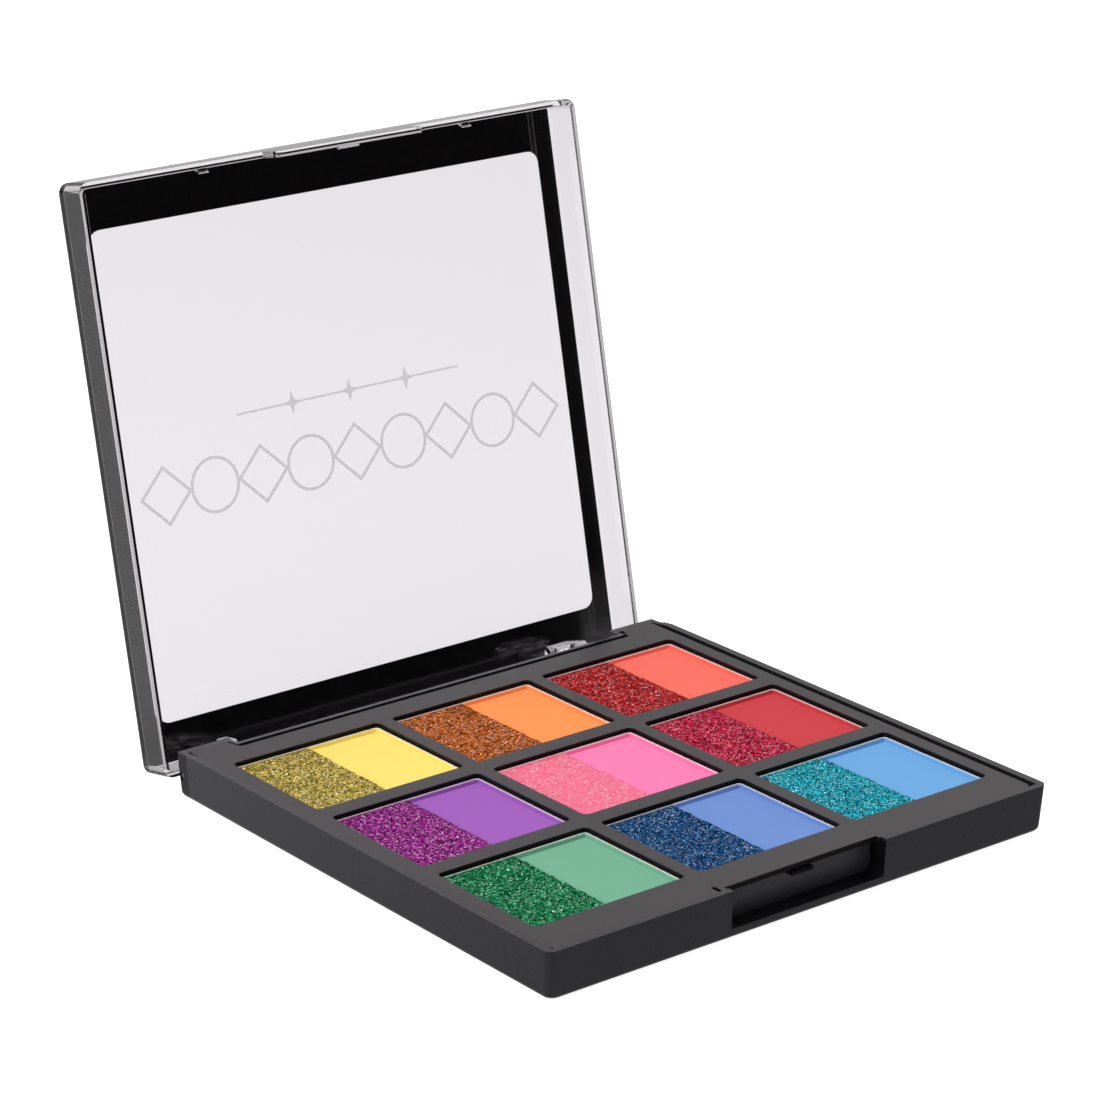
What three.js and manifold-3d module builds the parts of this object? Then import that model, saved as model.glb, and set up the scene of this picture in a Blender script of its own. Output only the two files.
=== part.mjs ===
// Nine-pan eyeshadow palette with a clear hinged lid, standing open against its stop.
// Millimetres, +Z up. X runs along the front edge, Y towards the hinge. The origin is on the
// underside, below the middle of the three by three grid of pans.
import * as THREE from 'three';
import { mergeVertices } from 'three/addons/utils/BufferGeometryUtils.js';
import Module from 'manifold-3d';

const manifold = await Module();
manifold.setup();

// Base tray
const HALF_WIDTH = 60;
const FRONT_Y = -57.5;
const REAR_Y = 59.3;
const TRAY_HEIGHT = 9.6;
const FLOOR = 1.4;
const SIDE_WALL = 1.6;
const FRONT_WALL = 1.4;
const CORNER_RADIUS = 1.6;
const REAR_CORNER_RADIUS = 0.7;
const FOOT_RADIUS = 1.2;
const FOOT_DRAFT = 0.5;
const RIB = 1;
const RIB_TOP = 4.6;

// Pan frame: a plate with nine wells, pushed to the left in the tray
const FRAME_SHIFT = -0.3;
const FRAME_LEFT_X = -58.2;
const FRAME_RIGHT_X = 57.45;
const FRAME_FRONT_Y = -55.8;
const FRAME_REAR_Y = 57.4;
const FRAME_CHAMFER = 0.9;
const FRAME_TOP = 9.4;
const FRAME_PLATE = 1.2;
const LEDGE_TOP = 8.2;
const WELL_FLOOR_TOP = 5.6;
const WELL_WALL = 1;

// Pans and what is pressed into them
const COLUMN_PITCH = 37.5;
const ROW_PITCH = 32.8;
const OPENING = { x: 34.3, y: 28.6, radius: 1 };
const PAN = { x: 33.8, y: 28.1, radius: 0.9, wall: 0.35, top: 8.5 };
const CAKE_GAP = 0.02;
const GLITTER_TOP = 8.4;
const MATTE_TOP = 8.25;
const CAKE_SPLIT = 0.06;

// Rear cut-outs for the hinge
const HINGE_BAY_HALF = 47.9;
const HINGE_BAY_Y = 55.8;
const BLOCK_WALL = 0.8;
const REAR_STEP = { slopeY: 53, y: 57.5, z: 9.05 };
const SIDE_RELIEF = { depth: 0.4, frontY: 55.6 };
const BAY_WALL_Y = 54.6;
const FRAME_BAY_Y = 53.5;
const FRAME_BAY_HALF = 48.6;
const FRAME_BAY_SLANT = 1.3;

// Hinge
const HINGE_Y = 58;
const HINGE_Z = 4.4;
const OPEN_ANGLE = THREE.MathUtils.degToRad(101.46);
const PIN = { radius: 0.8, reach: 0.4, outer: 59.2, chamfer: 0.2 };
const PIN_SEAT_RADIUS = 0.85;
const KNUCKLE_BORE = 0.9;
const KNUCKLE_RADIUS = 1.9;
const ARM_SPANS = { right: [38, 46], left: [-47.3, -42.6] };
const ARM = {
  frontY: 56.1,
  blockY: 55.26,
  shoulderZ: 7.6,
  neckZ: 9.9,
  blockZ: 10.5,
  topZ: 14.2,
  rootZ: 15.6,
  slant: 2.6,
};
const STOP_TOE = { y: 1.5, z: -1.84, halfAngle: 0.5 };

// Lid, described in its closed position
const LID_RIM_Z = 10.05;
const LID_TOP_Z = 18.2;
const LID_WALL = 1.2;
const LID_PLATE = 1.2;
const LID_EDGE_RADIUS = 0.6;
const LID_CORNER_RADIUS = 1.9;
const LID_FILLET = 0.2;
const APRON = { half: 47.3, bottomZ: 6.5 };
const TONGUE = { half: 17.9, bottomZ: 5.1, radius: 1.6 };
const CATCH_BUMP = { half: 2.5, depth: 0.55, lowZ: 5.9, highZ: 6.9 };
const GUIDE_RIB = { x: 31.9, width: 2.4, depth: 0.9, topZ: 12.4 };

// Finger recess in the front of the tray
const RECESS = { half: 18.4, backY: -53.1, floorZ: 2.05, radius: 2, wall: 1.2 };
const FRAME_RECESS_Y = -54.8;
const CATCH_NIB = { half: 2.55, frontY: -55.3, lowZ: 7.3, highZ: 8 };
const SLIT = { x: -19.9, width: 0.9, rearY: -53.5 };

// Prints on the outside of the lid
const PRINT_GAP = 0.06;
const PRINT_THICKNESS = 0.1;
const BORDER = { left: -58.8, right: 58.7, frontY: -56.5, rearY: 58.5, radius: 1.1 };
const WINDOW = { left: -55, right: 54.6, frontY: -47.5, rearY: 50.4, radius: 2.5 };
const BAND = { y: 6.1, count: 9, pitch: 11.5, reach: 6.1, stroke: 0.62, overlap: 0.35 };
const CREST = { y: -6.6, half: 27.4, rule: 0.4, star: 2.4, waist: 0.75, starX: [-14, 0, 14] };

const ROUND_STEPS = 24;
const CORNER_STEPS = 4;
const BEYOND = 3;

const COLOURS = {
  tray: 0x2b2a2c,
  frame: 0x4a484a,
  tin: 0xc9c4bd,
  steel: 0x9a9a9c,
  clear: 0xe9e7ea,
  print: 0x0d0d0e,
  ornament: 0xc7c5c9,
};
const ROWS = [
  { name: 'rear', y: ROW_PITCH },
  { name: 'middle', y: 0 },
  { name: 'front', y: -ROW_PITCH },
];
const COLUMNS = [
  { name: 'left', x: -COLUMN_PITCH },
  { name: 'centre', x: 0 },
  { name: 'right', x: COLUMN_PITCH },
];
const SHADES = {
  rear_left: { glitter: 0x968c32, matte: 0xfde06e },
  rear_centre: { glitter: 0xa05a19, matte: 0xff965a },
  rear_right: { glitter: 0xa02328, matte: 0xf37369 },
  middle_left: { glitter: 0x8c2882, matte: 0xa364bc },
  middle_centre: { glitter: 0xff7d9b, matte: 0xfa82b4 },
  middle_right: { glitter: 0xaf234b, matte: 0xc8414b },
  front_left: { glitter: 0x14784b, matte: 0x7db496 },
  front_centre: { glitter: 0x194b7d, matte: 0x7391d0 },
  front_right: { glitter: 0x148c91, matte: 0x73aae1 },
};

// Closed geometry to solid and back
function solid(geometry) {
  const bare = geometry.index ? geometry.toNonIndexed() : geometry.clone();
  bare.deleteAttribute('normal');
  bare.deleteAttribute('uv');
  const merged = mergeVertices(bare, 1e-4);
  return new manifold.Manifold(
    new manifold.Mesh({
      numProp: 3,
      vertProperties: new Float32Array(merged.attributes.position.array),
      triVerts: new Uint32Array(merged.index.array),
    })
  );
}

function surface(body) {
  const mesh = body.getMesh();
  const geometry = new THREE.BufferGeometry();
  geometry.setAttribute('position', new THREE.BufferAttribute(new Float32Array(mesh.vertProperties), 3));
  geometry.setIndex(new THREE.BufferAttribute(new Uint32Array(mesh.triVerts), 1));
  geometry.computeVertexNormals();
  return geometry;
}

function joined(solids) {
  return solids.reduce((all, next) => all.add(next));
}

// A rectangle with rounded corners, counter-clockwise, as corner points
function roundedOutline(x0, x1, y0, y1, radius, steps = CORNER_STEPS, rearRadius = radius) {
  const corners = [
    [x1 - radius, y0 + radius, radius, -Math.PI / 2],
    [x1 - rearRadius, y1 - rearRadius, rearRadius, 0],
    [x0 + rearRadius, y1 - rearRadius, rearRadius, Math.PI / 2],
    [x0 + radius, y0 + radius, radius, Math.PI],
  ];
  const points = [];
  for (const [cx, cy, r, start] of corners) {
    for (let i = 0; i <= steps; i += 1) {
      const angle = start + (Math.PI / 2) * (i / steps);
      points.push(new THREE.Vector2(cx + r * Math.cos(angle), cy + r * Math.sin(angle)));
    }
  }
  return points;
}

// A solid through outlines of equal point count, each given as { z, points }, from low to high
function stacked(layers) {
  const count = layers[0].points.length;
  const positions = [];
  const corner = (layer, i) => {
    const point = layers[layer].points[i % count];
    return [point.x, point.y, layers[layer].z];
  };
  for (let layer = 0; layer < layers.length - 1; layer += 1) {
    for (let i = 0; i < count; i += 1) {
      positions.push(...corner(layer, i), ...corner(layer, i + 1), ...corner(layer + 1, i + 1));
      positions.push(...corner(layer, i), ...corner(layer + 1, i + 1), ...corner(layer + 1, i));
    }
  }
  const last = layers.length - 1;
  for (const [a, b, c] of THREE.ShapeUtils.triangulateShape(layers[0].points, [])) {
    positions.push(...corner(0, a), ...corner(0, c), ...corner(0, b));
    positions.push(...corner(last, a), ...corner(last, b), ...corner(last, c));
  }
  const geometry = new THREE.BufferGeometry();
  geometry.setAttribute('position', new THREE.Float32BufferAttribute(positions, 3));
  return solid(geometry);
}

// Upright prism of an outline, with optional holes
function prism(points, z0, z1, holes = []) {
  const shape = new THREE.Shape(points);
  shape.holes = holes.map((hole) => new THREE.Path(hole));
  const geometry = new THREE.ExtrudeGeometry(shape, { depth: z1 - z0, bevelEnabled: false });
  return solid(geometry.translate(0, 0, z0));
}

// Prism of a profile drawn in Y and Z, running from x0 to x1
function crossPrism(profile, x0, x1) {
  const shape = new THREE.Shape(profile.map(([y, z]) => new THREE.Vector2(y, z)));
  const geometry = new THREE.ExtrudeGeometry(shape, { depth: x1 - x0, bevelEnabled: false });
  const upright = new THREE.Matrix4().makeBasis(
    new THREE.Vector3(0, 1, 0),
    new THREE.Vector3(0, 0, 1),
    new THREE.Vector3(1, 0, 0)
  );
  return solid(geometry.applyMatrix4(upright).translate(x0, 0, 0));
}

// Prism of an outline drawn in X and Z, running from y0 to y1
function frontPrism(points, y0, y1) {
  const shape = new THREE.Shape(points);
  const geometry = new THREE.ExtrudeGeometry(shape, { depth: y1 - y0, bevelEnabled: false });
  return solid(geometry.rotateX(Math.PI / 2).translate(0, y1, 0));
}

function block(x0, x1, y0, y1, z0, z1) {
  const geometry = new THREE.BoxGeometry(x1 - x0, y1 - y0, z1 - z0);
  return solid(geometry.translate((x0 + x1) / 2, (y0 + y1) / 2, (z0 + z1) / 2));
}

// Round bar along X on the hinge axis
function hingeBar(radius, x0, x1) {
  const geometry = new THREE.CylinderGeometry(radius, radius, x1 - x0, ROUND_STEPS);
  return solid(geometry.rotateZ(Math.PI / 2).translate((x0 + x1) / 2, HINGE_Y, HINGE_Z));
}

// The part of the hinge circle below start and end angles, as profile points
function hingeArc(radius, start, end, steps = 10) {
  const points = [];
  for (let i = 0; i <= steps; i += 1) {
    const angle = start + (end - start) * (i / steps);
    points.push([HINGE_Y + radius * Math.cos(angle), HINGE_Z + radius * Math.sin(angle)]);
  }
  return points;
}

// The same prism on the left and on the right
function bothSides(make) {
  return [make(1), make(-1)];
}

function spanOf(side, inner, outer) {
  return side > 0 ? [inner, outer] : [-outer, -inner];
}

function material(colour, roughness, metalness = 0, opacity = 1) {
  return new THREE.MeshStandardMaterial({
    color: colour,
    roughness,
    metalness,
    opacity,
    transparent: opacity < 1,
  });
}

function piece(name, body, finish) {
  const mesh = new THREE.Mesh(surface(body), finish);
  mesh.name = name;
  return mesh;
}

// Base tray: outer shell with soft foot edges
function trayBody() {
  const footSteps = 4;
  const layers = [];
  for (let i = 0; i <= footSteps; i += 1) {
    const angle = (Math.PI / 2) * (i / footSteps);
    const inset = FOOT_DRAFT + FOOT_RADIUS * (1 - Math.sin(angle));
    layers.push({ z: FOOT_RADIUS * (1 - Math.cos(angle)), inset });
  }
  layers.push({ z: TRAY_HEIGHT, inset: 0 });
  return stacked(
    layers.map(({ z, inset }) => ({
      z,
      points: roundedOutline(
        -HALF_WIDTH + inset,
        HALF_WIDTH - inset,
        FRONT_Y + inset,
        REAR_Y - inset,
        CORNER_RADIUS,
        CORNER_STEPS,
        REAR_CORNER_RADIUS
      ),
    }))
  );
}

// Room for the plate of the pan frame, then for its wells
function trayCavity() {
  const inner = HALF_WIDTH - SIDE_WALL;
  const seat = block(-inner, inner, FRONT_Y + FRONT_WALL, BAY_WALL_Y, LEDGE_TOP, TRAY_HEIGHT + BEYOND);
  const seatCorners = bothSides((side) => {
    const [x0, x1] = spanOf(side, HINGE_BAY_HALF + BLOCK_WALL, inner);
    return block(x0, x1, BAY_WALL_Y - 1, REAR_STEP.y, LEDGE_TOP, TRAY_HEIGHT + BEYOND);
  });
  const wellRoom = block(
    -inner + 1,
    inner - 1,
    RECESS.backY + RECESS.wall,
    BAY_WALL_Y - 1,
    FLOOR,
    LEDGE_TOP + 1
  );
  return joined([seat, ...seatCorners, wellRoom]);
}

function recessCut() {
  const topZ = TRAY_HEIGHT + BEYOND;
  const outline = roundedOutline(-RECESS.half, RECESS.half, RECESS.floorZ, topZ, RECESS.radius);
  return frontPrism(outline, FRONT_Y - BEYOND, RECESS.backY);
}

// Shallow relief in the side faces round the outer end of the hinge pin
function sideRelief(side) {
  const [x0, x1] = spanOf(side, HALF_WIDTH - SIDE_RELIEF.depth, HALF_WIDTH + BEYOND);
  const radius = HINGE_Y - SIDE_RELIEF.frontY;
  const profile = [
    [SIDE_RELIEF.frontY, TRAY_HEIGHT + BEYOND],
    ...hingeArc(radius, Math.PI, Math.PI * 1.5),
    [REAR_Y + BEYOND, HINGE_Z - radius],
    [REAR_Y + BEYOND, TRAY_HEIGHT + BEYOND],
  ];
  return crossPrism(profile, x0, x1);
}

// The side rims slope down to the corner blocks, which stand lower behind the pan frame
function rearStep() {
  const profile = [
    [REAR_STEP.slopeY, TRAY_HEIGHT + BEYOND],
    [REAR_STEP.slopeY, TRAY_HEIGHT],
    [REAR_STEP.y, REAR_STEP.z],
    [REAR_Y + BEYOND, REAR_STEP.z],
    [REAR_Y + BEYOND, TRAY_HEIGHT + BEYOND],
  ];
  return crossPrism(profile, -HALF_WIDTH - BEYOND, HALF_WIDTH + BEYOND);
}

function trayRibs() {
  const ribs = [];
  const inner = HALF_WIDTH - SIDE_WALL - 0.5;
  for (const x of [-COLUMN_PITCH, 0, COLUMN_PITCH]) {
    ribs.push(block(x - RIB / 2, x + RIB / 2, RECESS.backY + 0.6, BAY_WALL_Y - 0.5, FLOOR - 0.4, RIB_TOP));
  }
  for (const y of [-ROW_PITCH, 0, ROW_PITCH]) {
    ribs.push(block(-inner, inner, y - RIB / 2, y + RIB / 2, FLOOR - 0.4, RIB_TOP));
  }
  return ribs;
}

function baseTray() {
  let tray = trayBody().subtract(trayCavity());
  tray = tray.subtract(
    block(-HINGE_BAY_HALF, HINGE_BAY_HALF, HINGE_BAY_Y, REAR_Y + BEYOND, -BEYOND, TRAY_HEIGHT + BEYOND)
  );
  const backWall = block(
    -RECESS.half - RECESS.wall,
    RECESS.half + RECESS.wall,
    FRONT_Y + 1,
    RECESS.backY + RECESS.wall,
    FLOOR - 0.4,
    LEDGE_TOP
  );
  tray = joined([tray, backWall, ...trayRibs()]).subtract(recessCut());
  tray = tray.add(
    block(
      -CATCH_NIB.half,
      CATCH_NIB.half,
      CATCH_NIB.frontY,
      RECESS.backY + 0.5,
      CATCH_NIB.lowZ,
      CATCH_NIB.highZ
    )
  );
  tray = tray.subtract(rearStep());
  for (const side of [1, -1]) {
    tray = tray.subtract(sideRelief(side));
    const [x0, x1] = spanOf(side, HINGE_BAY_HALF - BEYOND, HALF_WIDTH + BEYOND);
    tray = tray.subtract(hingeBar(PIN_SEAT_RADIUS, x0, x1));
  }
  return tray;
}

// Pan frame
function frameOutline() {
  const left = FRAME_LEFT_X;
  const right = FRAME_RIGHT_X;
  const r = FRAME_CHAMFER;
  const bay = FRAME_BAY_HALF;
  return [
    [left, FRAME_FRONT_Y + r],
    [left + r, FRAME_FRONT_Y],
    [SLIT.x - SLIT.width / 2, FRAME_FRONT_Y],
    [SLIT.x - SLIT.width / 2, SLIT.rearY],
    [SLIT.x + SLIT.width / 2, SLIT.rearY],
    [SLIT.x + SLIT.width / 2, FRAME_FRONT_Y],
    [-RECESS.half, FRAME_FRONT_Y],
    [-RECESS.half, FRAME_RECESS_Y],
    [RECESS.half, FRAME_RECESS_Y],
    [RECESS.half, FRAME_FRONT_Y],
    [right - r, FRAME_FRONT_Y],
    [right, FRAME_FRONT_Y + r],
    [right, FRAME_REAR_Y - r],
    [right - r, FRAME_REAR_Y],
    [bay + FRAME_BAY_SLANT, FRAME_REAR_Y],
    [bay, FRAME_BAY_Y],
    [-bay, FRAME_BAY_Y],
    [-bay - FRAME_BAY_SLANT, FRAME_REAR_Y],
    [left + r, FRAME_REAR_Y],
    [left, FRAME_REAR_Y - r],
  ].map(([x, y]) => new THREE.Vector2(x, y));
}

function centredOutline(x, y, sizeX, sizeY, radius) {
  return roundedOutline(x - sizeX / 2, x + sizeX / 2, y - sizeY / 2, y + sizeY / 2, radius, 3);
}

function panFrame() {
  const wells = [];
  const pockets = [];
  for (const row of ROWS) {
    for (const column of COLUMNS) {
      const x = column.x + FRAME_SHIFT;
      const outer = centredOutline(
        x,
        row.y,
        OPENING.x + 2 * WELL_WALL,
        OPENING.y + 2 * WELL_WALL,
        OPENING.radius + WELL_WALL
      );
      wells.push(prism(outer, WELL_FLOOR_TOP - WELL_WALL, FRAME_TOP - 0.5));
      const opening = centredOutline(x, row.y, OPENING.x, OPENING.y, OPENING.radius);
      pockets.push(prism(opening, WELL_FLOOR_TOP, FRAME_TOP + BEYOND));
    }
  }
  const plate = prism(frameOutline(), FRAME_TOP - FRAME_PLATE, FRAME_TOP);
  return joined([plate, ...wells]).subtract(joined(pockets));
}

// One pan with its two cakes
function tinPan(x, y) {
  const outer = centredOutline(x, y, PAN.x, PAN.y, PAN.radius);
  const inner = centredOutline(
    x,
    y,
    PAN.x - 2 * PAN.wall,
    PAN.y - 2 * PAN.wall,
    PAN.radius - PAN.wall
  );
  const hollow = prism(inner, WELL_FLOOR_TOP + PAN.wall, PAN.top + BEYOND);
  return prism(outer, WELL_FLOOR_TOP, PAN.top).subtract(hollow);
}

function cake(x, y, side, top) {
  const half = PAN.x / 2 - PAN.wall - CAKE_GAP;
  const halfY = PAN.y / 2 - PAN.wall - CAKE_GAP;
  const radius = PAN.radius - PAN.wall;
  const whole = prism(
    roundedOutline(x - half, x + half, y - halfY, y + halfY, radius, 3),
    WELL_FLOOR_TOP + PAN.wall + CAKE_GAP,
    top
  );
  const [x0, x1] = side < 0 ? [x - half - 1, x - CAKE_SPLIT] : [x + CAKE_SPLIT, x + half + 1];
  return whole.intersect(block(x0, x1, y - halfY - 1, y + halfY + 1, 0, top + 1));
}

function filledPan(row, column) {
  const x = column.x + FRAME_SHIFT;
  const place = `${row.name}_${column.name}`;
  const shade = SHADES[place];
  return [
    piece(`pan_${place}`, tinPan(x, row.y), material(COLOURS.tin, 0.35, 1)),
    piece(`glitter_${place}`, cake(x, row.y, -1, GLITTER_TOP), material(shade.glitter, 0.35)),
    piece(`matte_${place}`, cake(x, row.y, 1, MATTE_TOP), material(shade.matte, 0.9)),
  ];
}

// Hinge pins, pressed into the corner blocks of the tray
function hingePin(side) {
  const { radius, reach, outer, chamfer } = PIN;
  const inner = side > 0 ? ARM_SPANS.right[0] : -ARM_SPANS.left[1];
  const length = outer - inner + reach;
  const profile = [
    [0, 0],
    [radius - chamfer, 0],
    [radius, chamfer],
    [radius, length - chamfer],
    [radius - chamfer, length],
    [0, length],
  ].map(([r, along]) => new THREE.Vector2(r, along));
  const geometry = new THREE.LatheGeometry(profile, ROUND_STEPS);
  const start = side > 0 ? inner - reach : -outer;
  return solid(geometry.rotateZ(-Math.PI / 2).translate(start, HINGE_Y, HINGE_Z));
}

// Lid shell in its closed position
function lidBox() {
  const edgeSteps = 3;
  const outerLayers = [{ z: LID_RIM_Z, inset: 0 }];
  for (let i = 0; i <= edgeSteps; i += 1) {
    const angle = (Math.PI / 2) * (i / edgeSteps);
    outerLayers.push({
      z: LID_TOP_Z - LID_EDGE_RADIUS * (1 - Math.sin(angle)),
      inset: LID_EDGE_RADIUS * (1 - Math.cos(angle)),
    });
  }
  const filletSteps = 4;
  const innerTop = LID_TOP_Z - LID_PLATE;
  const innerLayers = [{ z: LID_RIM_Z - BEYOND, inset: LID_WALL }];
  for (let i = 0; i <= filletSteps; i += 1) {
    const angle = (Math.PI / 2) * (i / filletSteps);
    innerLayers.push({
      z: innerTop - LID_FILLET * (1 - Math.sin(angle)),
      inset: LID_WALL + LID_FILLET * (1 - Math.cos(angle)),
    });
  }
  const through = (layers, radius) =>
    stacked(
      layers.map(({ z, inset }) => ({
        z,
        points: roundedOutline(
          -HALF_WIDTH + inset,
          HALF_WIDTH - inset,
          FRONT_Y + inset,
          REAR_Y - inset,
          radius
        ),
      }))
    );
  const shell = through(outerLayers, LID_CORNER_RADIUS);
  return shell.subtract(through(innerLayers, LID_CORNER_RADIUS / 2));
}

function frontTongue() {
  const inside = FRONT_Y + LID_WALL;
  const outline = roundedOutline(
    -TONGUE.half,
    TONGUE.half,
    TONGUE.bottomZ,
    LID_RIM_Z + BEYOND,
    TONGUE.radius
  );
  const plate = frontPrism(outline, FRONT_Y, inside);
  const bump = crossPrism(
    [
      [inside - 0.4, CATCH_BUMP.lowZ],
      [inside + CATCH_BUMP.depth, (CATCH_BUMP.lowZ + CATCH_BUMP.highZ) / 2],
      [inside + CATCH_BUMP.depth, CATCH_BUMP.highZ - 0.2],
      [inside - 0.4, CATCH_BUMP.highZ],
    ],
    -CATCH_BUMP.half,
    CATCH_BUMP.half
  );
  return plate.add(bump);
}

function guideRib(side) {
  const inside = FRONT_Y + LID_WALL;
  const centre = side * GUIDE_RIB.x;
  return crossPrism(
    [
      [inside - 0.4, LID_RIM_Z + 0.1],
      [inside + GUIDE_RIB.depth, LID_RIM_Z + 0.1],
      [inside - 0.4, GUIDE_RIB.topZ],
    ],
    centre - GUIDE_RIB.width / 2,
    centre + GUIDE_RIB.width / 2
  );
}

// An arm from the hinge pin to the lid's rear wall, its outer end slanted above the neck
function hingeArm([x0, x1]) {
  const [inner, outer] = x0 > 0 ? [x0, x1] : [x1, x0];
  const slanted = outer - Math.sign(outer) * ARM.slant;
  const front = [
    [inner, 0],
    [outer, 0],
    [outer, ARM.neckZ],
    [slanted, ARM.topZ],
    [slanted, ARM.rootZ + 1],
    [inner, ARM.rootZ + 1],
  ].map(([x, z]) => new THREE.Vector2(x, z));
  const profile = [
    [ARM.blockY, ARM.topZ],
    [ARM.blockY, ARM.blockZ],
    [ARM.frontY, ARM.neckZ],
    ...hingeArc(KNUCKLE_RADIUS, Math.PI, Math.PI * 2, 12),
    [REAR_Y - LID_WALL / 2, ARM.shoulderZ],
    [REAR_Y - LID_WALL / 2, ARM.rootZ],
  ];
  const reach = Math.hypot(STOP_TOE.y, STOP_TOE.z);
  const aim = Math.atan2(STOP_TOE.z, STOP_TOE.y);
  const base = [-1, 1].map((turn) => [
    HINGE_Y + KNUCKLE_RADIUS * 0.95 * Math.cos(aim + turn * STOP_TOE.halfAngle),
    HINGE_Z + KNUCKLE_RADIUS * 0.95 * Math.sin(aim + turn * STOP_TOE.halfAngle),
  ]);
  const tip = [HINGE_Y + reach * Math.cos(aim), HINGE_Z + reach * Math.sin(aim)];
  const toe = crossPrism([base[0], tip, base[1]], x0, x1);
  const arm = crossPrism(profile, x0, x1).add(toe);
  return arm.intersect(frontPrism(front, ARM.blockY - 1, REAR_Y + 1 + STOP_TOE.y));
}

function lidShell() {
  const apron = block(-APRON.half, APRON.half, REAR_Y - LID_WALL, REAR_Y, APRON.bottomZ, LID_RIM_Z + 1);
  const arms = Object.values(ARM_SPANS);
  const parts = [lidBox(), frontTongue(), apron, ...bothSides(guideRib), ...arms.map(hingeArm)];
  const bores = arms.map(([x0, x1]) => hingeBar(KNUCKLE_BORE, x0 - 1, x1 + 1));
  return joined(parts).subtract(joined(bores));
}

// Ink on the outside of the lid
function inkPrism(points, holes = []) {
  const bottom = LID_TOP_Z + PRINT_GAP;
  return prism(points, bottom, bottom + PRINT_THICKNESS, holes);
}

function borderPrint() {
  const [outside, window] = [BORDER, WINDOW].map(({ left, right, frontY, rearY, radius }) =>
    roundedOutline(left, right, frontY, rearY, radius)
  );
  return inkPrism(outside, [window]);
}

// Points round a centre, every second one at its own radius
function pointed(x, y, count, reach, between = reach) {
  const points = [];
  for (let i = 0; i < count; i += 1) {
    const angle = (Math.PI * 2 * i) / count;
    const radius = i % 2 ? between : reach;
    points.push(new THREE.Vector2(x + radius * Math.cos(angle), y + radius * Math.sin(angle)));
  }
  return points;
}

// Band of outlined lozenges and rings, linked side by side
function ornamentBand() {
  const { y, count, pitch, reach, stroke, overlap } = BAND;
  const links = [];
  for (let i = 0; i < count; i += 1) {
    const x = (i - (count - 1) / 2) * pitch;
    const lozenge = i % 2 === 0;
    const sides = lozenge ? 4 : ROUND_STEPS;
    const outer = lozenge ? reach : pitch - reach + overlap;
    const inner = outer - (lozenge ? stroke * Math.SQRT2 : stroke);
    links.push(inkPrism(pointed(x, y, sides, outer), [pointed(x, y, sides, inner)]));
  }
  return joined(links);
}

// Thin rule with three small four-pointed stars on it
function ornamentCrest() {
  const { y, half, rule, star, waist, starX } = CREST;
  const line = inkPrism(roundedOutline(-half, half, y - rule / 2, y + rule / 2, rule / 4, 1));
  const stars = starX.map((x) => inkPrism(pointed(x, y, 8, star, waist)));
  return joined([line, ...stars]);
}

const palette = new THREE.Group();

palette.add(piece('base_tray', baseTray(), material(COLOURS.tray, 0.55)));
palette.add(piece('pan_frame', panFrame(), material(COLOURS.frame, 0.6)));
for (const row of ROWS) {
  for (const column of COLUMNS) {
    palette.add(...filledPan(row, column));
  }
}
palette.add(piece('hinge_pin_right', hingePin(1), material(COLOURS.steel, 0.3, 1)));
palette.add(piece('hinge_pin_left', hingePin(-1), material(COLOURS.steel, 0.3, 1)));

const lid = new THREE.Group();
const closedLid = new THREE.Group();
closedLid.position.set(0, -HINGE_Y, -HINGE_Z);
closedLid.add(piece('lid_shell', lidShell(), material(COLOURS.clear, 0.08, 0, 0.3)));
closedLid.add(piece('lid_border_print', borderPrint(), material(COLOURS.print, 0.3)));
closedLid.add(piece('lid_ornament_band', ornamentBand(), material(COLOURS.ornament, 0.4)));
closedLid.add(piece('lid_ornament_crest', ornamentCrest(), material(COLOURS.ornament, 0.4)));
lid.position.set(0, HINGE_Y, HINGE_Z);
lid.rotation.x = -OPEN_ANGLE;
lid.add(closedLid);
palette.add(lid);

export default palette;
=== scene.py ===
# Looks for the nine-pan eyeshadow palette: camera, studio, materials, and the pressed cakes.
# Metres throughout; MM turns sizes that are given in millimetres into metres.
import math

import bpy
import numpy as np
from mathutils import Matrix, Vector


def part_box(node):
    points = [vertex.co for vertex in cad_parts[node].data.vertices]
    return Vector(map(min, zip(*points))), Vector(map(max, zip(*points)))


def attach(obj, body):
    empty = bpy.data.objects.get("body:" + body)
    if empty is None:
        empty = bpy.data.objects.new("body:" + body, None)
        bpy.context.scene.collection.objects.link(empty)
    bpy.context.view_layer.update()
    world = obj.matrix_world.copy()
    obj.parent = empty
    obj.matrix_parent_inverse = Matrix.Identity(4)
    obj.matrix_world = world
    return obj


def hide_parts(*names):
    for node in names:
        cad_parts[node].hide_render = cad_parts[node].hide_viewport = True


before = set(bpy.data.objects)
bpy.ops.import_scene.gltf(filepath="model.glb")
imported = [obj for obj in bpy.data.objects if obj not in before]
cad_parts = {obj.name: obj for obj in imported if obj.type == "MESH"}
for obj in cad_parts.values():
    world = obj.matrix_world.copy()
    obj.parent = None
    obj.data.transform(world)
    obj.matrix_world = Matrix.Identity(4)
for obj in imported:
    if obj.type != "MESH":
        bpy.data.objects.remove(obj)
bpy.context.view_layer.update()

MM = 0.001
SCENE = bpy.context.scene

# ---------------------------------------------------------------- camera
# The eye point is in the palette's own frame; the angles say which side it looks from.
EYE = Vector((-423.96, -520.07, 289.0)) * MM
AZIMUTH = math.radians(-38.218)
ELEVATION = math.radians(19.323)
ROLL = math.radians(-0.065)
LENS_MM = 124.33
SENSOR_MM = 36.0
CLIP_RANGE = (0.05, 20.0)
MOST_BOUNCES = 20
GLOSSY_BOUNCES = 12


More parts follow.
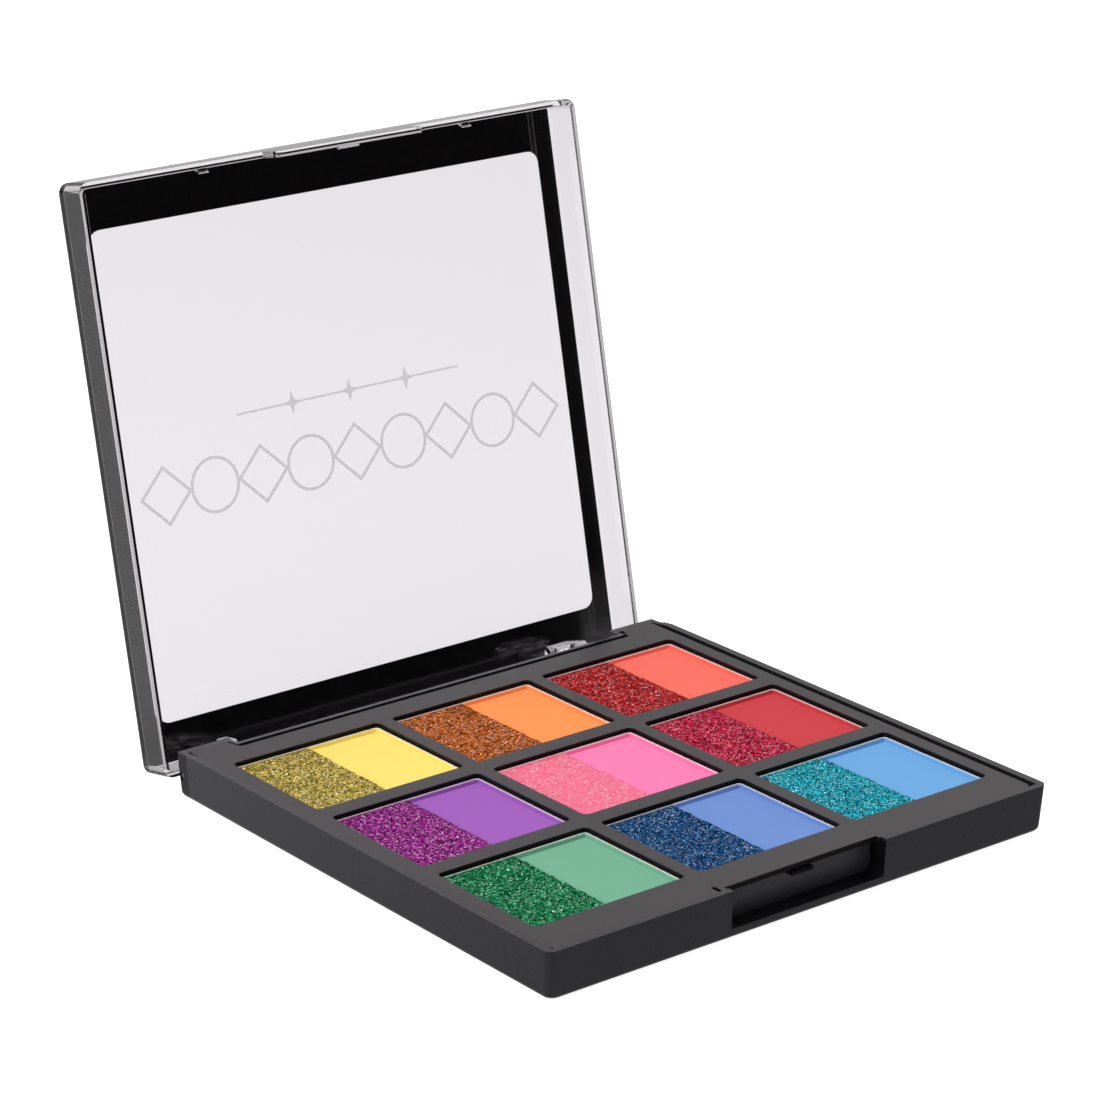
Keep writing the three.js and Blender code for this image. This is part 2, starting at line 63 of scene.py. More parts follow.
def add_camera():
    data = bpy.data.cameras.new("camera")
    data.sensor_width = SENSOR_MM
    data.lens = LENS_MM
    data.clip_start, data.clip_end = CLIP_RANGE
    camera = bpy.data.objects.new("camera", data)
    SCENE.collection.objects.link(camera)
    back = Vector((
        math.sin(AZIMUTH) * math.cos(ELEVATION),
        -math.cos(AZIMUTH) * math.cos(ELEVATION),
        math.sin(ELEVATION),
    ))
    look = (-back).to_track_quat("-Z", "Y").to_matrix().to_4x4()
    camera.matrix_world = Matrix.Translation(EYE) @ look @ Matrix.Rotation(ROLL, 4, "Z")
    SCENE.camera = camera


add_camera()
SCENE.view_settings.view_transform = "Standard"
SCENE.cycles.max_bounces = MOST_BOUNCES
SCENE.cycles.glossy_bounces = GLOSSY_BOUNCES
SCENE.cycles.transmission_bounces = MOST_BOUNCES


# ---------------------------------------------------------------- node helpers
X_AXIS, Y_AXIS, Z_AXIS = 0, 1, 2
BLACK = (0.0, 0.0, 0.0, 1.0)
WHITE = (1.0, 1.0, 1.0, 1.0)


class Nodes:
    """A small writer for one node tree."""

    def __init__(self, tree):
        self.tree = tree
        tree.nodes.clear()

    def add(self, kind, inputs=None, **settings):
        node = self.tree.nodes.new(kind)
        for key, value in settings.items():
            setattr(node, key, value)
        for key, value in (inputs or {}).items():
            self.set(node.inputs[key], value)
        return node

    def set(self, socket, value):
        if isinstance(value, bpy.types.NodeSocket):
            self.tree.links.new(value, socket)
        else:
            socket.default_value = value

    def math(self, operation, a, b=0.0, clamp=False):
        node = self.add("ShaderNodeMath", {0: a, 1: b}, operation=operation)
        node.use_clamp = clamp
        return node.outputs[0]

    def vector(self, operation, a, others=None):
        return self.add("ShaderNodeVectorMath", {0: a, **(others or {})}, operation=operation).outputs[0]

    def mix(self, factor, a, b):
        """Colour a where factor is 0, colour b where it is 1."""
        return self.add("ShaderNodeMix", {0: factor, 6: a, 7: b}, data_type="RGBA").outputs[2]

    def choose(self, factor, a, b):
        """Number a where factor is 0, number b where it is 1."""
        return self.add("ShaderNodeMix", {0: factor, 2: a, 3: b}, data_type="FLOAT").outputs[0]

    def remap(self, value, low, high, to_low, to_high):
        """Takes low..high to to_low..to_high, and holds the end values outside."""
        node = self.add(
            "ShaderNodeMapRange",
            {0: value, 1: low, 2: high, 3: to_low, 4: to_high},
        )
        return node.outputs[0]

    def ramp(self, value, stops):
        node = self.add("ShaderNodeValToRGB", {0: value})
        elements = node.color_ramp.elements
        while len(elements) < len(stops):
            elements.new(0.5)
        for element, (place, colour) in zip(elements, stops):
            element.position = place
            element.color = colour
        return node.outputs[0]

    def place(self):
        """The part's own coordinates, in metres."""
        return self.add("ShaderNodeTexCoord").outputs["Object"]

    def along(self, axis):
        return self.add("ShaderNodeSeparateXYZ", {0: self.place()}).outputs[axis]

    def noise(self, size_mm, detail=2.0, rough=0.5, stretch=(1, 1, 1)):
        """Noise whose lumps are about size_mm across."""
        mapping = self.add("ShaderNodeMapping", {"Vector": self.place(), "Scale": stretch})
        node = self.add(
            "ShaderNodeTexNoise",
            {
                "Vector": mapping.outputs[0],
                "Scale": 1 / (size_mm * MM),
                "Detail": detail,
                "Roughness": rough,
            },
        )
        return node.outputs["Fac"]

    def specks(self, size_mm, detail, start, full):
        """0 on most of the surface and 1 in small scattered specks."""
        return self.ramp(self.noise(size_mm, detail), [(0.0, BLACK), (start, BLACK), (full, WHITE)])

    def bump(self, height, depth_mm):
        inputs = {"Height": height, "Strength": 1.0, "Distance": depth_mm * MM}
        return self.add("ShaderNodeBump", inputs).outputs[0]

    def finish(self, shader):
        self.add("ShaderNodeOutputMaterial", {"Surface": shader})


def rgb(red, green, blue):
    """A colour named by its 0 to 255 display values, as the linear colour shaders take."""
    def linear(value):
        value /= 255
        return value / 12.92 if value <= 0.04045 else ((value + 0.055) / 1.055) ** 2.4
    return (linear(red), linear(green), linear(blue), 1.0)


def scaled(colour, factor):
    """A colour made darker or brighter, with each channel held at 1."""
    return tuple(min(1.0, channel * factor) for channel in colour[:3]) + (1.0,)


def brightened(colour, factor):
    """A colour made brighter by at most factor, and never so far that a channel clips."""
    return scaled(colour, min(factor, 1 / max(colour[:3])))


def blended(a, b, share):
    """Colour a with a share of colour b in it."""
    return tuple(x * (1 - share) + y * share for x, y in zip(a, b))


def new_material(name):
    material = bpy.data.materials.new(name)
    material.use_nodes = True
    return material, Nodes(material.node_tree)


# ---------------------------------------------------------------- materials
PLASTIC_IOR = 1.5
COOL_SHINE = (0.98, 0.96, 1.0, 1.0)
WARM_SHINE = (1.0, 0.94, 0.97, 1.0)


def moulded_plastic(name, colour, gloss_low, gloss_high, shine, painted_shade, painted_light=None):
    """Satin moulded plastic: fine spark-eroded grain, faint flow mottling and a few dust specks.

    dull(n) is 1 where shade is painted: the colour is painted darker there and the specular is lowered.
    paler(n) is 1 where light is painted: the colour is painted paler there.
    """
    material, n = new_material(name)
    grain = n.noise(0.12, 3.0, 0.6)
    mottle = n.noise(9.0, 3.0)
    dust = n.math("MULTIPLY", n.specks(0.35, 1.0, 0.79, 0.84), 0.35)
    tone = n.mix(mottle, scaled(colour, 0.88), scaled(colour, 1.12))
    tone = n.mix(dust, tone, scaled(colour, 3.0))
    shade = painted_shade(n)
    # painted shade: darker colour where the dull mask is 1
    tone = n.mix(n.math("MULTIPLY", shade, 0.8), tone, scaled(colour, 0.15))
    if painted_light:
        # painted light: paler colour where the paler mask is 1
        tone = n.mix(painted_light(n), tone, scaled(colour, 2.3))
    texture = n.math("ADD", n.math("MULTIPLY", grain, 0.6), n.math("MULTIPLY", mottle, 0.4))
    shader = n.add("ShaderNodeBsdfPrincipled", {
        "Base Color": tone,
        "Roughness": n.remap(texture, 0.3, 0.7, gloss_low, gloss_high),
        "IOR": PLASTIC_IOR,
        "Specular IOR Level": n.remap(shade, 0.0, 1.0, 0.7, 0.08),
        "Specular Tint": shine,
        "Normal": n.bump(grain, 0.012),
    })
    n.finish(shader.outputs[0])
    return material


def within(n, axis, low_mm, high_mm, mirrored=False):
    """1 where the part's own coordinate lies between two values, optionally on both sides."""
    value = n.along(axis)
    if mirrored:
        value = n.math("ABSOLUTE", value)
    above = n.math("GREATER_THAN", value, low_mm * MM)
    return n.math("MULTIPLY", above, n.math("LESS_THAN", value, high_mm * MM))


def all_of(n, *masks):
    result = masks[0]
    for mask in masks[1:]:
        result = n.math("MULTIPLY", result, mask)
    return result


# Finger recess, side reliefs and wells, as ranges of the part's coordinates in millimetres
RECESS_X = (-18.45, 18.45)
RECESS_INSIDE_Y = (-57.45, -53.2)
RECESS_BACK_Y = (-53.2, -52.9)
RECESS_INSIDE_Z = (2.0, 9.0)
RECESS_BACK_Z = (2.1, 9.0)
RELIEF_X = (59.3, 59.75)
RELIEF_Y = (55.5, 60.0)
WELL_Z = (0.0, 9.25)


def tray_painted_shade(n):
    """Painted shade: the inside of the finger recess, and more faintly the reliefs at the hinge, painted
    darker and less glossy.
    """
    recess = all_of(
        n,
        within(n, X_AXIS, *RECESS_X),
        within(n, Y_AXIS, *RECESS_INSIDE_Y),
        within(n, Z_AXIS, *RECESS_INSIDE_Z),
    )
    relief = all_of(n, within(n, X_AXIS, *RELIEF_X, mirrored=True), within(n, Y_AXIS, *RELIEF_Y))
    return n.math("ADD", recess, n.math("MULTIPLY", relief, 0.6), clamp=True)


def recess_back_painted_light(n):
    """Painted light: the rear face of the finger recess, painted paler."""
    return all_of(
        n,
        within(n, X_AXIS, *RECESS_X),
        within(n, Y_AXIS, *RECESS_BACK_Y),
        within(n, Z_AXIS, *RECESS_BACK_Z),
    )


def frame_painted_shade(n):
    """Painted shade: the walls of the wells, below the frame's top face, painted darker and less glossy."""
    return within(n, Z_AXIS, *WELL_Z)


CLEAR_TINT = (0.95, 0.915, 0.945, 1.0)
CLEAR_SHADOW = (0.87, 0.86, 0.87, 1.0)


def clear_plastic(name):
    """Clear moulded plastic: lets lamps through, with faint haze and hair-fine scratches."""
    material, n = new_material(name)
    haze = n.remap(n.noise(14.0, 3.0), 0.35, 0.75, 0.012, 0.03)
    scratch = n.remap(n.noise(0.5, 2.0, stretch=(1, 0.04, 0.04)), 0.66, 0.8, 0.0, 0.03)
    glass = n.add("ShaderNodeBsdfPrincipled", {
        "Base Color": CLEAR_TINT,
        "Roughness": n.math("ADD", haze, scratch),
        "IOR": PLASTIC_IOR,
        "Transmission Weight": 1.0,
        "Normal": n.bump(n.noise(6.0, 2.0), 0.004),
    })
    open_way = n.add("ShaderNodeBsdfTransparent", {"Color": CLEAR_SHADOW})
    path = n.add("ShaderNodeLightPath")
    passing = n.math("MAXIMUM", path.outputs["Is Shadow Ray"], path.outputs["Is Diffuse Ray"])
    mixed = n.add("ShaderNodeMixShader", {0: passing, 1: glass.outputs[0], 2: open_way.outputs[0]})
    n.finish(mixed.outputs[0])
    return material


def printed_ink(name, colour, roughness, sheer=0.0):
    """Screen-printed ink: a faint mesh texture, uneven cover, and light through it where sheer."""
    material, n = new_material(name)
    cover = n.noise(2.5, 3.0)
    mesh = n.noise(0.18, 1.0)
    bare = n.remap(mesh, 0.2, 0.8, sheer * 0.9, sheer * 1.1)
    shader = n.add("ShaderNodeBsdfPrincipled", {
        "Base Color": n.mix(cover, scaled(colour, 0.9), scaled(colour, 1.1)),
        "Roughness": n.remap(mesh, 0.3, 0.7, roughness - 0.08, roughness + 0.08),
        "IOR": 1.45,
        "Specular IOR Level": 0.08,
        "Alpha": n.math("SUBTRACT", 1.0, bare),
        "Normal": n.bump(mesh, 0.004),
    })
    n.finish(shader.outputs[0])
    return material


def sheet_metal(name, colour, low, high, stretch):
    """Pressed or drawn metal: drawing lines along one way, with cloudy gloss."""
    material, n = new_material(name)
    lines = n.noise(0.25, 2.0, stretch=stretch)
    cloud = n.noise(3.0, 3.0)
    shader = n.add("ShaderNodeBsdfPrincipled", {
        "Base Color": n.mix(cloud, scaled(colour, 0.85), colour),
        "Metallic": 1.0,
        "Roughness": n.remap(n.math("MULTIPLY", lines, cloud), 0.1, 0.45, low, high),
        "Normal": n.bump(lines, 0.006),
    })
    n.finish(shader.outputs[0])
    return material


TINPLATE = rgb(240, 234, 230)


def dusted_tin(place, glitter, matte):
    """A pan's tinplate with a film of dust on its rim, from the cake that is pressed on each side."""
    material, n = new_material(f"pan_metal_{place}")
    low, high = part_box(f"pan_{place}")
    on_matte = n.math("GREATER_THAN", n.along(X_AXIS), (low.x + high.x) / 2)
    dust = n.mix(on_matte, glitter, blended(matte, WHITE, 0.25))
    film = n.remap(n.noise(0.6, 3.0), 0.35, 0.65, 0.25, 0.7)
    lines = n.noise(0.25, 2.0, stretch=(1, 1, 0.05))
    shader = n.add("ShaderNodeBsdfPrincipled", {
        "Base Color": n.mix(film, TINPLATE, dust),
        "Metallic": n.math("SUBTRACT", 1.0, film),
        "Roughness": n.remap(film, 0.25, 0.7, 0.42, 0.8),
        "Normal": n.bump(lines, 0.006),
    })
    n.finish(shader.outputs[0])
    return material


def pressed_powder(name, colour):
    """Matte pressed powder: fine grain, faint cloudiness and a few darker specks, matt all over."""
    material, n = new_material(name)
    grain = n.noise(0.16, 3.0, 0.65)
    cloud = n.noise(4.5, 3.0)
    specks = n.math("MULTIPLY", n.specks(0.3, 0.0, 0.74, 0.8), 0.25)
    tone = n.mix(cloud, scaled(colour, 0.84), scaled(colour, 0.95))
    tone = n.mix(n.remap(grain, 0.3, 0.7, 0.0, 0.5), scaled(colour, 0.9), tone)
    tone = n.mix(specks, tone, scaled(colour, 0.6))
    shader = n.add("ShaderNodeBsdfPrincipled", {
        "Base Color": tone,
        "Roughness": n.remap(grain, 0.3, 0.7, 0.82, 0.98),
        "Specular IOR Level": 0.25,
        "Sheen Weight": 0.05,
        "Sheen Roughness": 0.5,
        "Normal": n.bump(grain, 0.03),
    })
    n.finish(shader.outputs[0])
    return material


FLAKE = 0.31 * MM


def pressed_glitter(name, body, contrast):
    """Pressed glitter: flakes each tilted its own way, coloured in darker, lighter and near-white copies of
    the body tone, which are painted shade, painted highlights and rare painted glints.
    """
    material, n = new_material(name)
    # painted shade, painted highlights and painted glints: shaded, lit and near-white copies of the body
    # tone, picked per flake
    dark = scaled(body, 1 - 0.8 * contrast)
    light = blended(brightened(body, 1.7), WHITE, 0.07)
    spark = blended(brightened(body, 2.8), WHITE, 0.45)
    flakes = n.add("ShaderNodeTexVoronoi", {"Vector": n.place(), "Scale": 1 / FLAKE})
    pick = n.add("ShaderNodeSeparateColor", {0: flakes.outputs["Color"]})
    tone = n.ramp(pick.outputs[0], [
        (0.0, dark), (0.28, dark), (0.36, body), (0.62, body), (0.7, light), (0.86, light), (0.9, spark),
    ])
    level = n.add("ShaderNodeNewGeometry").outputs["Normal"]
    tilt = n.vector("SUBTRACT", flakes.outputs["Color"], {1: (0.5, 0.5, 0.5)})
    lean = n.vector("SCALE", tilt, {"Scale": 0.4 + 0.5 * contrast})
    shader = n.add("ShaderNodeBsdfPrincipled", {
        "Base Color": tone,
        "Specular Tint": tone,
        "Metallic": 0.25 + 0.5 * contrast,
        "Roughness": n.remap(pick.outputs[1], 0.0, 1.0, 0.18, 0.45),
        "Normal": n.vector("NORMALIZE", n.vector("ADD", level, {1: lean})),
    })
    n.finish(shader.outputs[0])
    return material


# ---------------------------------------------------------------- CAD nodes: edges and materials
WELD_REACH = 2e-6
FLAT_ANGLE = math.radians(0.5)
SHARP_ANGLE = math.radians(32)


def soften(node, width_mm):
    """Rounds a moulded node's sharp edges a little and smooths its shading."""
    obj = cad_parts[node]
    mesh = obj.data
    if "custom_normal" in mesh.attributes:
        mesh.attributes.remove(mesh.attributes["custom_normal"])
    mesh.shade_smooth()
    weld = obj.modifiers.new("weld", "WELD")
    weld.merge_threshold = WELD_REACH
    flat = obj.modifiers.new("flat", "DECIMATE")
    flat.decimate_type = "DISSOLVE"
    flat.angle_limit = FLAT_ANGLE
    bevel = obj.modifiers.new("bevel", "BEVEL")
    bevel.width = width_mm * MM
    bevel.segments = 2
    bevel.limit_method = "ANGLE"
    bevel.angle_limit = SHARP_ANGLE
    bevel.use_clamp_overlap = True
    bevel.miter_outer = "MITER_ARC"
    smooth = obj.modifiers.new("smooth", "WEIGHTED_NORMAL")
    smooth.keep_sharp = True
    return obj


def dress(obj, material):
    obj.data.materials.clear()
    obj.data.materials.append(material)


def dress_cad():
    """Gives the tray, frame, lid, prints and pins their materials."""
    tray = moulded_plastic("tray_black", rgb(29, 28, 31), 0.22, 0.36, COOL_SHINE, tray_painted_shade, recess_back_painted_light)
    plate = moulded_plastic("frame_black", rgb(39, 35, 37), 0.34, 0.48, WARM_SHINE, frame_painted_shade)
    clear = clear_plastic("lid_clear")
    black = printed_ink("print_black", rgb(9, 8, 9), 0.3)
    grey = printed_ink("print_grey", rgb(196, 194, 197), 0.5, 0.75)
    steel = sheet_metal("pin_steel", rgb(160, 160, 163), 0.2, 0.45, (0.05, 1, 1))
    dress(soften("base_tray", 0.18), tray)
    dress(soften("pan_frame", 0.14), plate)
    dress(soften("lid_shell", 0.16), clear)
    dress(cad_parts["lid_border_print"], black)
    for node in ("lid_ornament_band", "lid_ornament_crest"):
        dress(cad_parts[node], grey)
    for node in ("hinge_pin_left", "hinge_pin_right"):
        dress(soften(node, 0.04), steel)


# ---------------------------------------------------------------- pressed cakes
PAN_RIM_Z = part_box("pan_rear_left")[1].z
CORNER = 0.5 * MM

# Matte cake: how far its face lies under the pan's rim, the powder that clings to the walls, the
# hollow pressed along its border, and the unevenness of its face
MATTE_DEPTH = 0.8 * MM
MATTE_STEPS = (0.05 * MM, 1.35, 0.9 * MM)
CLING, CLING_REACH = 0.62 * MM, 0.13 * MM
PRESS, PRESS_REACH = 0.06 * MM, 1.5 * MM
UNEVEN, UNEVEN_REACH = 0.012 * MM, 0.5 * MM

# Glitter cake: its face near the rim, the grain of its mesh, the grains that spill over the matte
# cake, and how it falls off to the walls and to the matte cake
GLITTER_DEPTH = 0.06 * MM
GLITTER_CELL = 0.23 * MM
GLITTER_JITTER = 0.35
SPILL, SPILL_LUMPS = 0.16 * MM, 26
SPILL_LEAST, SPILL_MOST = -0.12, 0.16
SPILL_START, SPILL_BEND = 0.1 * MM, 24
WALL_SHOULDER, MATTE_SHOULDER, SHOULDER_REACH = 0.12 * MM, 0.16 * MM, 0.25 * MM
LUMPS = 0.05 * MM
LEFT_EDGE_DROP = 0.1 * MM


def graded(start, end, first, growth, largest):
    """Steps from start to end, fine at both ends."""
    half = (end - start) / 2
    side = [0.0]
    step = first
    while side[-1] + step < half:
        side.append(side[-1] + step)
        step = min(step * growth, largest)
    left = [start + s for s in side]
    right = [end - s for s in reversed(side)]
    return np.array(left + right)


def smooth_noise(shape, cells, random):
    """Smooth random field in -1..1 with about cells lumps along each axis."""
    coarse = random.uniform(-1, 1, (cells[0] + 3, cells[1] + 3))
    u = np.linspace(0, cells[0], shape[0])
    v = np.linspace(0, cells[1], shape[1])
    i, j = u.astype(int), v.astype(int)
    fu, fv = u - i, v - j
    fu, fv = fu * fu * (3 - 2 * fu), fv * fv * (3 - 2 * fv)
    a = coarse[np.ix_(i, j)] * np.outer(1 - fu, 1 - fv)
    b = coarse[np.ix_(i + 1, j)] * np.outer(fu, 1 - fv)
    c = coarse[np.ix_(i, j + 1)] * np.outer(1 - fu, fv)
    d = coarse[np.ix_(i + 1, j + 1)] * np.outer(fu, fv)
    return a + b + c + d


def slab(name, x, y, top, bottom, material, body, stands_for, flat=False):
    """A closed slab: a grid of top points x, y, top over a flat bottom at one height."""
    rows, columns = x.shape
    points = np.stack([x, y, top], -1).reshape(-1, 3)
    index = np.arange(rows * columns).reshape(rows, columns)
    faces = [
        (index[i, j], index[i + 1, j], index[i + 1, j + 1], index[i, j + 1])
        for i in range(rows - 1) for j in range(columns - 1)
    ]
    ring = list(index[:, 0]) + list(index[-1, 1:]) + list(index[-2::-1, -1]) + list(index[0, -2:0:-1])
    low = points[ring].copy()
    low[:, 2] = bottom
    base = len(points)
    count = len(ring)
    for k in range(count):
        m = (k + 1) % count
        faces.append((ring[m], ring[k], base + k, base + m))
    faces.append(tuple(base + k for k in reversed(range(count))))
    mesh = bpy.data.meshes.new(name)
    mesh.from_pydata(np.concatenate([points, low]).tolist(), [], [tuple(int(v) for v in f) for f in faces])
    mesh.update()
    if not flat:
        mesh.shade_smooth()
        mesh.set_sharp_from_angle(angle=math.radians(55))
    obj = bpy.data.objects.new(name, mesh)
    SCENE.collection.objects.link(obj)
    dress(obj, material)
    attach(obj, body)
    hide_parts(stands_for)
    return obj


def tuck_corners(x, y, x0, x1, y0, y1, left, right):
    """Pulls grid points outside a rounded corner back onto its arc, on the sides asked for."""
    for cx, inward, on in ((x0 + CORNER, -1, left), (x1 - CORNER, 1, right)):
        if not on:
            continue
        for cy, side in ((y0 + CORNER, -1), (y1 - CORNER, 1)):
            dx, dy = (x - cx) * inward, (y - cy) * side
            reach = np.hypot(dx, dy)
            outside = (dx > 0) & (dy > 0) & (reach > CORNER)
            shrink = np.where(outside, CORNER / np.maximum(reach, 1e-9), 1.0)
            x[:] = np.where(outside, cx + (x - cx) * shrink, x)
            y[:] = np.where(outside, cy + (y - cy) * shrink, y)


def matte_cake(place, material, random):
    """The pressed powder in a pan's right half."""
    node = f"matte_{place}"
    low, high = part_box(node)
    xs = graded(low.x, high.x, *MATTE_STEPS)
    ys = graded(low.y, high.y, *MATTE_STEPS)
    x, y = np.meshgrid(xs, ys, indexing="ij")
    to_wall = np.minimum(np.minimum(high.x - x, y - low.y), high.y - y)
    cling = CLING * np.exp(-((to_wall / CLING_REACH) ** 3))
    press = PRESS * (1 - np.exp(-to_wall / PRESS_REACH))
    uneven = smooth_noise(x.shape, (4, 6), random) * UNEVEN * np.minimum(1, to_wall / UNEVEN_REACH)
    top = PAN_RIM_Z - MATTE_DEPTH + cling + press + uneven
    tuck_corners(x, y, low.x, high.x, low.y, high.y, False, True)
    slab(f"matte_cake_{place}", x, y, top, low.z, material, "base", node)


def glitter_cake(place, material, contrast, random):
    """The pressed glitter in a pan's left half, built as a rough facetted face."""
    node = f"glitter_{place}"
    low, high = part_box(node)
    nx, ny = int((high.x - low.x) / GLITTER_CELL), int((high.y - low.y) / GLITTER_CELL)
    xs = np.linspace(low.x, high.x, nx)
    ys = np.linspace(low.y, high.y, ny)
    x, y = np.meshgrid(xs, ys, indexing="ij")
    for grid in (x, y):
        grid[1:-1, 1:-1] += random.uniform(-GLITTER_JITTER, GLITTER_JITTER, (nx - 2, ny - 2)) * GLITTER_CELL
    # the side next to the matte cake is ragged where grains spill over it
    spill = smooth_noise((2, ny), (1, SPILL_LUMPS), random)[0] * SPILL
    spill += random.uniform(SPILL_LEAST, SPILL_MOST, ny) * MM
    x += np.linspace(0, 1, nx)[:, None] ** SPILL_BEND * (spill[None, :] + SPILL_START)
    to_wall = np.minimum(np.minimum(x - low.x, y - low.y), high.y - y)
    to_matte = np.maximum(high.x + spill[None, :] - x, 0)
    shoulder = WALL_SHOULDER * np.exp(-to_wall / SHOULDER_REACH)
    shoulder += MATTE_SHOULDER * np.exp(-to_matte / SHOULDER_REACH)
    lumps = smooth_noise(x.shape, (14, 22), random) * LUMPS
    grains = random.uniform(-1, 1, x.shape) * (0.03 + 0.045 * contrast) * MM
    top = PAN_RIM_Z - GLITTER_DEPTH + lumps + grains - shoulder
    top[0, :] = np.minimum(top[0, :], PAN_RIM_Z - LEFT_EDGE_DROP)
    tuck_corners(x, y, low.x, high.x, low.y, high.y, True, False)
    slab(f"glitter_cake_{place}", x, y, top, low.z, material, "base", node, flat=True)


# For each pan: the glitter's body tone and contrast, then the matte powder's tone
SHADES = {
    "rear_left": (rgb(184, 164, 76), 1.0, rgb(254, 224, 112)),
    "rear_centre": (rgb(184, 98, 24), 1.0, rgb(255, 149, 80)),
    "rear_right": (rgb(184, 30, 34), 1.0, rgb(247, 110, 94)),
    "middle_left": (rgb(152, 40, 138), 1.0, rgb(158, 90, 184)),
    "middle_centre": (rgb(255, 118, 150), 0.2, rgb(255, 126, 178)),
    "middle_right": (rgb(194, 28, 72), 1.0, rgb(203, 56, 66)),
    "front_left": (rgb(6, 128, 80), 1.0, rgb(112, 174, 144)),
    "front_centre": (rgb(10, 80, 130), 1.0, rgb(107, 141, 206)),
    "front_right": (rgb(8, 162, 178), 1.0, rgb(105, 167, 222)),
}


FIRST_SEED = 100


def fill_pans():
    """Dresses each pan and presses its two cakes, each pan from its own random seed."""
    for number, (place, (glitter, contrast, matte)) in enumerate(SHADES.items()):
        random = np.random.default_rng(FIRST_SEED + number)
        dress(soften(f"pan_{place}", 0.08), dusted_tin(place, glitter, matte))
        matte_cake(place, pressed_powder(f"powder_{place}", matte), random)
        glitter_cake(place, pressed_glitter(f"flakes_{place}", glitter, contrast), contrast, random)


# ---------------------------------------------------------------- studio
# Brightness of the backdrop seen directly and through clear plastic, and of the lit floor
BACKDROP = 1.1
BEHIND_PLASTIC = 0.85
FLOOR_LEVEL = 1.3
FLOOR_GLOW = 0.86
FLOOR_COLOUR = (0.5, 0.5, 0.5, 1.0)
FLOOR_Z = -0.02 * MM
FLOOR_HALF = 6.0


def add_floor():
    corners = [(x, y, FLOOR_Z) for x, y in ((-1, -1), (1, -1), (1, 1), (-1, 1))]
    mesh = bpy.data.meshes.new("floor")
    mesh.from_pydata([(x * FLOOR_HALF, y * FLOOR_HALF, z) for x, y, z in corners], [], [(0, 1, 2, 3)])
    floor = bpy.data.objects.new("floor", mesh)
    SCENE.collection.objects.link(floor)
    material, n = new_material("floor")
    pale = n.add("ShaderNodeBsdfDiffuse", {"Color": FLOOR_COLOUR})
    # what gloss on the palette mirrors: a sweep that is bright close behind and dim elsewhere
    depth = n.along(Y_AXIS)
    near = n.remap(depth, -0.6, -0.2, 0.02, 0.17)
    glow = n.remap(depth, -0.1, 0.12, 0.0, 0.4)
    far = n.remap(depth, 0.9, 1.8, 1.0, 0.15)
    glow = n.math("MULTIPLY", n.math("ADD", glow, near), far)
    mirrored = n.add("ShaderNodeEmission", {"Strength": glow})
    direct = n.add("ShaderNodeEmission", {"Strength": FLOOR_GLOW})
    shown = n.add("ShaderNodeAddShader", {0: pale.outputs[0], 1: direct.outputs[0]})
    path = n.add("ShaderNodeLightPath")
    # as for the backdrop, what lies behind clear plastic reads a little under white
    loss = n.math("MULTIPLY", path.outputs["Is Transmission Ray"], 1 - BEHIND_PLASTIC / FLOOR_LEVEL)
    none = n.add("ShaderNodeEmission", {"Strength": 0.0})
    behind = n.add("ShaderNodeMixShader", {0: loss, 1: shown.outputs[0], 2: none.outputs[0]})
    bounced = n.math("GREATER_THAN", path.outputs["Glossy Depth"], 0.5)
    mixed = n.add("ShaderNodeMixShader", {0: bounced, 1: behind.outputs[0], 2: mirrored.outputs[0]})
    n.finish(mixed.outputs[0])
    dress(floor, material)


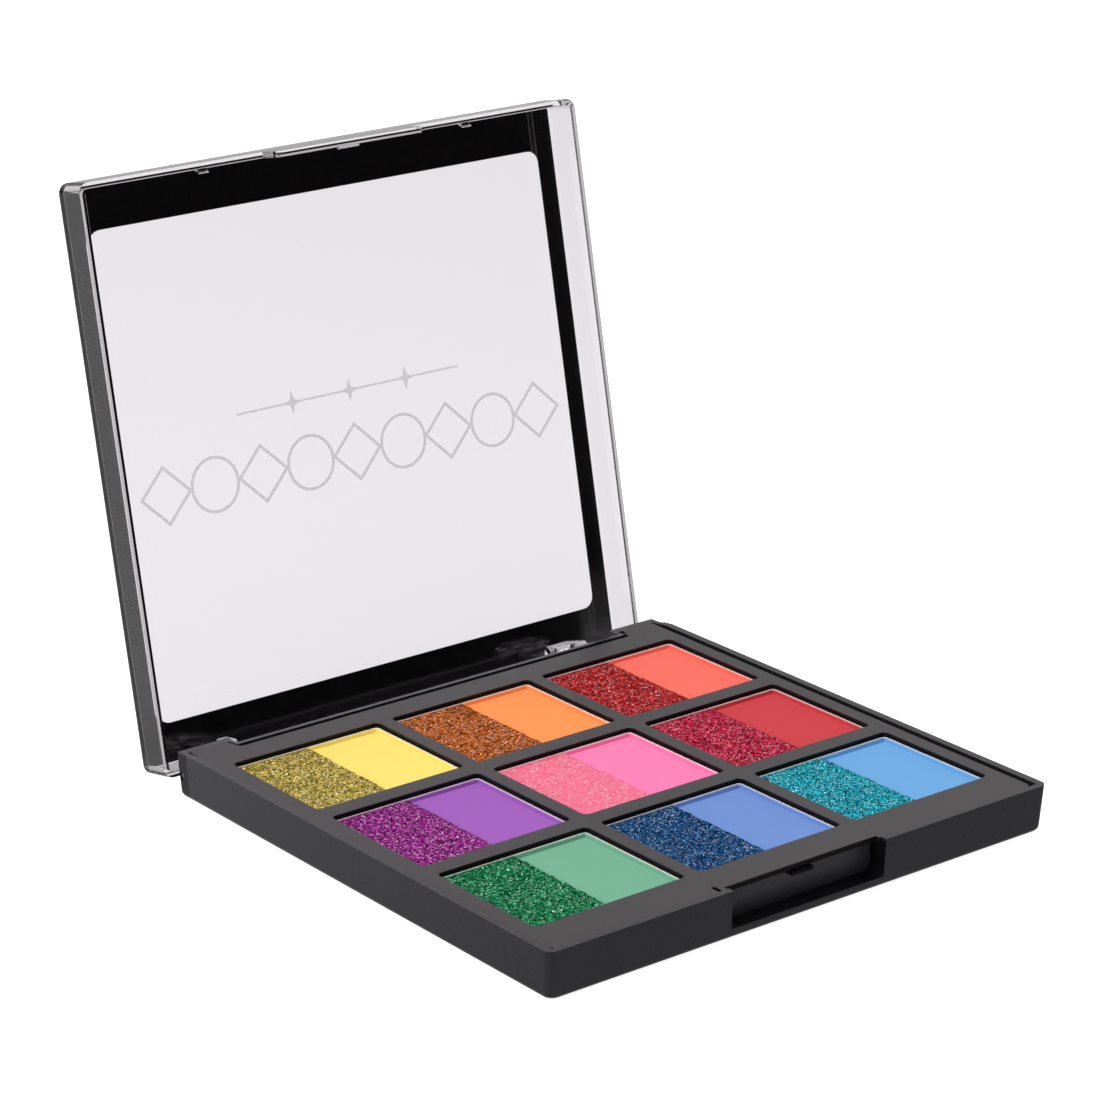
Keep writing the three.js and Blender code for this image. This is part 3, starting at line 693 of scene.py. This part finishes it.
def add_world():
    """Soft room light for the palette, with a white backdrop for the camera."""
    world = bpy.data.worlds.new("studio")
    SCENE.world = world
    world.use_nodes = True
    n = Nodes(world.node_tree)
    direction = n.add("ShaderNodeSeparateXYZ", {0: n.add("ShaderNodeTexCoord").outputs["Generated"]})
    across, depth, height = (direction.outputs[axis] for axis in (X_AXIS, Y_AXIS, Z_AXIS))
    # soft room light: bright overhead and behind, dim low in front
    front = n.remap(depth, -0.7, 0.0, 1.0, 0.0)
    low = n.remap(height, 0.1, 0.7, 1.0, 0.0)
    dim = n.math("MULTIPLY", front, low)
    room = n.remap(dim, 0.0, 1.0, 0.7, 0.015)
    left = n.remap(across, -0.9, -0.3, 0.3, 0.0)
    room = n.math("ADD", room, left)
    # the horizon behind is dark, which draws the edge of the clear lid's top
    level = n.remap(n.math("ABSOLUTE", height), 0.03, 0.2, 0.85, 0.0)
    horizon = n.math("MULTIPLY", level, n.remap(depth, 0.2, 0.6, 0.0, 1.0))
    room = n.math("MULTIPLY", room, n.math("SUBTRACT", 1.0, horizon))
    # the white backdrop shows directly, and through clear plastic when looking away from the front
    path = n.add("ShaderNodeLightPath")
    away = n.remap(depth, -0.3, 0.0, 0.0, 1.0)
    through = n.math("MULTIPLY", path.outputs["Is Transmission Ray"], away)
    strength = n.choose(through, room, BEHIND_PLASTIC)
    strength = n.choose(path.outputs["Is Camera Ray"], strength, BACKDROP)
    background = n.add("ShaderNodeBackground", {"Strength": strength})
    n.add("ShaderNodeOutputWorld", {"Surface": background.outputs[0]})


# Lamps: place, what it points at, width, height and watts
SOFTBOXES = {
    "key_overhead": ((-0.15, 0.1, 1.1), (0, 0, 0), 1.0, 0.8, 7.0),
    "fill_left": ((-1.0, 0.0, 0.55), (0, 0, 0.03), 0.7, 0.6, 4.2),
    "spark_left": ((-0.7, 0.35, 1.0), (0, 0, 0), 0.16, 0.16, 0.9),
    "spark_right": ((0.8, 0.45, 0.9), (0, 0, 0), 0.16, 0.16, 0.9),
}


def add_softbox(name, place, target, width, height, watts):
    data = bpy.data.lights.new(name, "AREA")
    data.shape = "RECTANGLE"
    data.size = width
    data.size_y = height
    data.energy = watts
    lamp = bpy.data.objects.new(name, data)
    SCENE.collection.objects.link(lamp)
    lamp.location = place
    lamp.rotation_mode = "QUATERNION"
    lamp.rotation_quaternion = (Vector(target) - Vector(place)).to_track_quat("-Z", "Y")


dress_cad()
fill_pans()
add_floor()
add_world()
for name, settings in SOFTBOXES.items():
    add_softbox(name, *settings)
